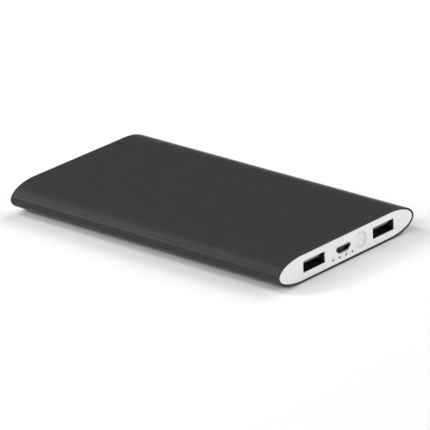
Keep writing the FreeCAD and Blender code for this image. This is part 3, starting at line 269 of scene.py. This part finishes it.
# the function that makes each slot's material, and what it is given after the name
MAKERS = {
    "sleeve": (anodised, (0.046, 0.046, 0.0462)),
    "white_cover": (moulded, (0.76, 0.76, 0.76), 0.5),
    "white_button": (moulded, (0.74, 0.74, 0.745), 0.38, 4500, 2e-6),
    "adhesive": (film, (0.6, 0.6, 0.56)),
    "inner_plastic": (moulded, (0.022, 0.022, 0.023), 0.55, 4200, 5e-6, 0.08),
    "screw_steel": (brushed, (0.56, 0.56, 0.57), 0.28, (1, 0.08, 1)),
    "shell_steel": (brushed, (0.27, 0.27, 0.275), 0.36, (1, 0.05, 1), 0.2),
    "micro_steel": (brushed, (0.24, 0.24, 0.245), 0.3, (1, 0.05, 1)),
    "socket_plastic": (moulded, (0.11, 0.108, 0.105), 0.45, 5200, 3e-6, 0.06),
    "contact_gold": (brushed, (0.80, 0.57, 0.24), 0.25, (1, 0.06, 1)),
    "switch_plastic": (brushed, (0.48, 0.48, 0.49), 0.35, (0.1, 1, 1)),
    "plunger_plastic": (moulded, (0.78, 0.72, 0.58), 0.5),
    "clear_plastic": (clear, (0.12, 0.12, 0.125)),
    "led_white": (moulded, (0.82, 0.80, 0.62), 0.3),
    "board_laminate": (laminate, (0.012, 0.1, 0.045)),
    "ferrite": (moulded, (0.06, 0.06, 0.062), 0.7, 2600, 1.5e-5, 0.2),
    "chip_plastic": (moulded, (0.018, 0.018, 0.019), 0.6, 3800, 6e-6, 0.1),
    "tantalum_plastic": (moulded, (0.62, 0.36, 0.04), 0.4, 3800, 4e-6, 0.05),
    "ceramic": (moulded, (0.36, 0.25, 0.14), 0.35, 3000, 4e-6, 0.1),
    "resistor_black": (moulded, (0.02, 0.02, 0.024), 0.3, 3000, 4e-6, 0.1),
    "pouch_foil": (foil, (0.62, 0.63, 0.65)),
    "nickel": (brushed, (0.58, 0.56, 0.51), 0.3, (0.08, 1, 1)),
    "foam": (open_foam, (0.025, 0.025, 0.026)),
    "sensor_bead": (moulded, (0.015, 0.015, 0.018), 0.2, 2500, 3e-6, 0.1),
}
materials = {slot: make(slot, *values) for slot, (make, *values) in MAKERS.items()}
slot_of = {part["node"]: part["material_slot"] for part in frame["record"]["subparts"]}
# the micro-USB opening is dark in the photograph, so these two don't use the record's slots,
# which are socket_plastic and contact_gold
# painted shade: darker than their own materials, the tongue and contacts stand for the shade deep
# inside the micro-USB opening
slot_of["micro_usb_tongue"] = "inner_plastic"
slot_of["micro_usb_contacts"] = "micro_steel"


def dress_nodes():
    """Gives every CAD node the material of its slot."""
    for name, thing in nodes.items():
        for slot in thing.material_slots:
            slot.material = materials[slot_of[name]]


dress_nodes()


# ---------------------------------------------------------------- soft pieces

# the power of a superellipse says how square it is; a ring's points go round, and stations along Y
CELL_POWER = 8
CELL_RING = 64
CELL_STATIONS = 72
CELL_CROWN = 0.05  # the share of its height that a pouch loses at its sides
CELL_DENT = 0.02
SHOULDER = 3.2 * MM
TERRACE = 4.0 * MM
TERRACE_INSET = 2 * MM
SEAL = 0.22 * MM
FOLD_THICKNESS = 0.12 * MM
FOLD_REACH = 1.5 * MM
FOLD_WAVE = 0.1 * MM
FOAM_POWER = 10
FOAM_RING = 56
FOAM_STATIONS = 60
FOAM_EDGE = 1.2 * MM
FOAM_EDGE_HEIGHT = 0.3  # the share of the pad's height that is left at its rim
FOAM_DENT = 0.12
FOAM_PHASE = 1.3
# a ripple's two waves: radians per metre in x and y, and the share of each
SLOW_X, SLOW_Y, SLOW_SHARE = 410, 230, 0.7
FAST_X, FAST_Y, FAST_SHARE = 1130, 640, 0.3


def signed_power(value, power):
    return math.copysign(abs(value) ** power, value)


def superellipse(half_width, half_height, power, count):
    """Points of a rounded rectangle round the Y axis, as pairs x, z from its middle."""
    points = []
    for i in range(count):
        turn = 2 * math.pi * i / count
        x = half_width * signed_power(math.cos(turn), 2 / power)
        z = half_height * signed_power(math.sin(turn), 2 / power)
        points.append((x, z))
    return points


def lofted(name, rings):
    """A closed mesh piece through rings of the same number of points, capped at both ends."""
    count = len(rings[0])
    faces = [tuple(range(count))[::-1]]
    for row in range(len(rings) - 1):
        here, there = row * count, (row + 1) * count
        for i in range(count):
            after = (i + 1) % count
            faces.append((here + i, here + after, there + after, there + i))
    last = (len(rings) - 1) * count
    faces.append(tuple(range(last, last + count)))
    mesh = bpy.data.meshes.new(name)
    mesh.from_pydata([point for ring in rings for point in ring], [], faces)
    tidy = bmesh.new()
    tidy.from_mesh(mesh)
    bmesh.ops.recalc_face_normals(tidy, faces=tidy.faces)
    tidy.to_mesh(mesh)
    tidy.free()
    for face in mesh.polygons:
        face.use_smooth = len(face.vertices) == 4
    piece = bpy.data.objects.new(name, mesh)
    bpy.context.scene.collection.objects.link(piece)
    return piece


def ripple(x, y, phase):
    """A shallow, uneven wave over a surface, from -1 to 1."""
    slow = math.sin(x * SLOW_X + phase) * math.sin(y * SLOW_Y + 2 * phase)
    fast = math.sin(x * FAST_X - y * FAST_Y + 3 * phase)
    return SLOW_SHARE * slow + FAST_SHARE * fast


def place_piece(piece, node, slot):
    """Finishes a piece that stands for a CAD node of the casing."""
    piece.data.materials.append(materials[slot])
    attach(piece, "casing")
    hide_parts(node)


def pouch_cell(node, phase):
    """A flat pouch cell: a crowned foil body, pressed thin at its front into the tabs' seal."""
    low, high = (Vector(corner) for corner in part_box(node))
    middle = (low + high) / 2
    full = (high - low) / 2
    body_front = low.y + TERRACE
    rings = []
    for station in range(CELL_STATIONS + 1):
        along = station / CELL_STATIONS
        y = low.y + (high.y - low.y) * along
        into = min(max((y - body_front) / SHOULDER, 0), 1)
        out = min(max((high.y - y) / SHOULDER, 0), 1)
        rise = math.sin(into * math.pi / 2) ** 0.5 * math.sin(out * math.pi / 2) ** 0.5
        height = SEAL + (full.z - SEAL) * rise
        width = full.x - TERRACE_INSET + TERRACE_INSET * into
        ring = []
        for x, z in superellipse(width, height, CELL_POWER, CELL_RING):
            crown = 1 - CELL_CROWN * (x / full.x) ** 2
            dent = 1 - CELL_DENT * rise * (1 + ripple(x, y, phase))
            ring.append((middle.x + x, y, middle.z + z * crown * dent))
        rings.append(ring)
    piece = lofted(f"{node}_pouch", rings)
    folded_seals(piece, low, high, body_front)
    place_piece(piece, node, "pouch_foil")


def folded_seals(piece, low, high, front):
    """Adds the two side seals of a pouch, folded up against its long sides."""
    shape = bmesh.new()
    shape.from_mesh(piece.data)
    middle_z = (low.z + high.z) / 2
    for side, edge in ((-1, low.x), (1, high.x)):
        rows = []
        for station in range(CELL_STATIONS + 1):
            y = front + SHOULDER + (high.y - front - 2 * SHOULDER) * station / CELL_STATIONS
            top = FOLD_REACH + FOLD_WAVE * ripple(0, y, side)
            inner, outer = FOLD_THICKNESS, 0
            outline = ((outer, -FOLD_REACH), (outer, top), (inner, top), (inner, -FOLD_REACH))
            rows.append([shape.verts.new((edge - side * x, y, middle_z + z)) for x, z in outline])
        for here, there in zip(rows, rows[1:]):
            for i in range(4):
                after = (i + 1) % 4
                shape.faces.new((here[i], here[after], there[after], there[i]))
        shape.faces.new(rows[0])
        shape.faces.new(rows[-1][::-1])
    bmesh.ops.recalc_face_normals(shape, faces=shape.faces)
    shape.to_mesh(piece.data)
    shape.free()


def foam_sheet():
    """The thin foam pad over the cells, soft at its edges and a little uneven."""
    low, high = (Vector(corner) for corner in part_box("foam_pad"))
    middle = (low + high) / 2
    full = (high - low) / 2
    rings = []
    for station in range(FOAM_STATIONS + 1):
        along = math.cos(math.pi * station / FOAM_STATIONS)
        y = middle.y - full.y * along
        inside = min((full.y - abs(y - middle.y)) / FOAM_EDGE, 1)
        swell = FOAM_EDGE_HEIGHT + (1 - FOAM_EDGE_HEIGHT) * math.sin(inside * math.pi / 2)
        width = full.x - FOAM_EDGE * (1 - swell) / 2
        ring = []
        for x, z in superellipse(width, full.z * swell, FOAM_POWER, FOAM_RING):
            pressed = 1 - FOAM_DENT * (1 + ripple(x, y, FOAM_PHASE)) / 2
            ring.append((middle.x + x, y, middle.z + z * pressed))
        rings.append(ring)
    piece = lofted("foam_sheet", rings)
    place_piece(piece, "foam_pad", "foam")


pouch_cell("lower_cell", 0.4)
pouch_cell("upper_cell", 2.1)
foam_sheet()


# ---------------------------------------------------------------- studio

FLOOR_SIZE = 2.6
FLOOR_WHITE = 0.92
# soft boxes aimed at the power bank: azimuth from +Y towards +X and elevation in degrees,
# distance and size in metres, power in watts
LIGHTS = {
    "tall_key": (-20, 42, 1.5, (0.5, 1.8), 10.3),
    "wide_key": (-15, 45, 1.5, (0.95, 0.5), 4.4),
    "edge_key": (-42, 28, 1.5, (0.35, 0.25), 6.2),
    "socket_fill": (158, 18, 2.0, (1.2, 1.2), 26.6),
    "left_fill": (-90, 30, 1.8, (1.0, 1.0), 12.8),
    "right_fill": (90, 35, 1.8, (1.0, 1.0), 15.2),
}


def make_floor():
    bpy.ops.mesh.primitive_plane_add(size=FLOOR_SIZE, location=(0, 0, 0))
    floor = bpy.context.object
    floor.name = "studio_floor"
    white = (FLOOR_WHITE, FLOOR_WHITE, FLOOR_WHITE)
    made = Shader("floor_white", white, 0.9, 0.0, Specular_IOR_Level=0.0)
    floor.data.materials.append(made.material)


def make_world():
    """White where the camera sees past the floor, but giving no light to the scene."""
    world = bpy.data.worlds.new("studio")
    bpy.context.scene.world = world
    world.use_nodes = True
    back = world.node_tree.nodes["Background"]
    back.inputs["Color"].default_value = (1, 1, 1, 1)
    seen = world.node_tree.nodes.new("ShaderNodeLightPath")
    world.node_tree.links.new(seen.outputs["Is Camera Ray"], back.inputs["Strength"])


def soft_box(name, azimuth, elevation, distance, size, power):
    data = bpy.data.lights.new(name, "AREA")
    data.shape = "RECTANGLE"
    data.size, data.size_y = size
    data.energy = power
    lamp = bpy.data.objects.new(name, data)
    bpy.context.scene.collection.objects.link(lamp)
    around, up = math.radians(azimuth), math.radians(elevation)
    away = Vector((math.sin(around) * math.cos(up), math.cos(around) * math.cos(up), math.sin(up)))
    lamp.location = away * distance
    lamp.rotation_euler = away.to_track_quat("Z", "Y").to_euler()


bpy.context.scene.view_settings.view_transform = "Standard"
bpy.context.scene.view_settings.look = "None"
make_floor()
make_world()
for light_name, setting in LIGHTS.items():
    soft_box(light_name, *setting)
